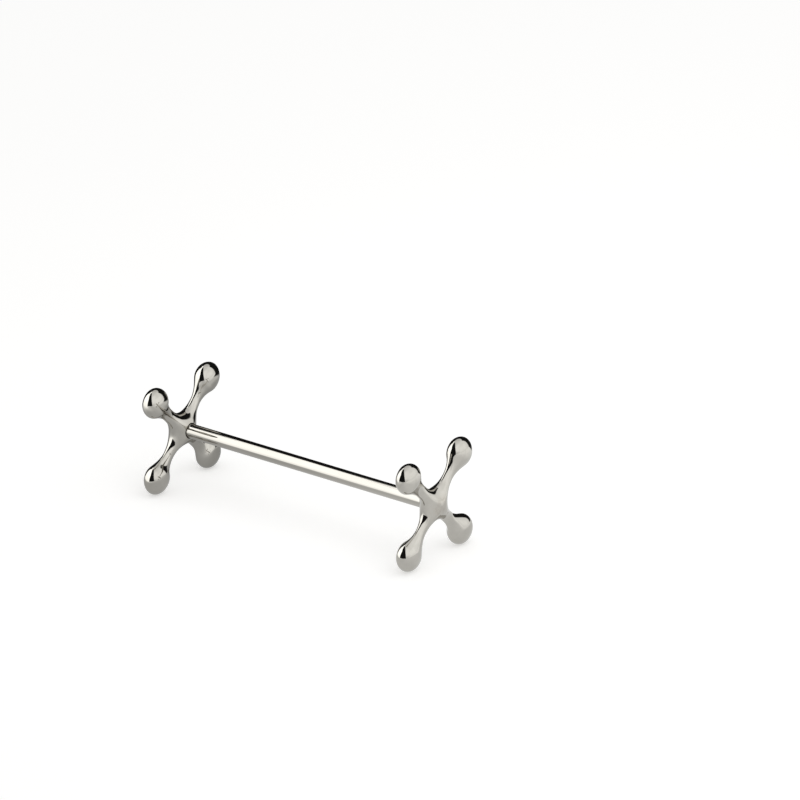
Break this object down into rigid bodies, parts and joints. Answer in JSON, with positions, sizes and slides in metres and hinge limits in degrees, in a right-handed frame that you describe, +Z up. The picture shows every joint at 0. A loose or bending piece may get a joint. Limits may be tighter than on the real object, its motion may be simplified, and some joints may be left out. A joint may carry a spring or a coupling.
{
  "type": "knife rest",
  "caption": "Bar-type table knife rest: a plain round bar joining X-shaped, ball-tipped cast ends that stand on their lower tips, in polished plated metal.",
  "frame": {"origin": "on the table plane under the middle of the bar, at the centre of the box's bottom face", "axes": "+X along the bar towards the near end, +Y across it, +Z up; the feet stand on z = 0"},
  "size_m": [0.0778, 0.0262, 0.0262],
  "materials": {
    "plated_casting": "polished",
    "plated_bar": "polished",
    "stud_steel": "satin"
  },
  "bodies": {
    "root": {"near_cross_end": "plated_casting", "far_cross_end": "plated_casting", "rest_bar": "plated_bar", "near_joining_stud": "stud_steel", "far_joining_stud": "stud_steel"}
  },
  "joints": []
}
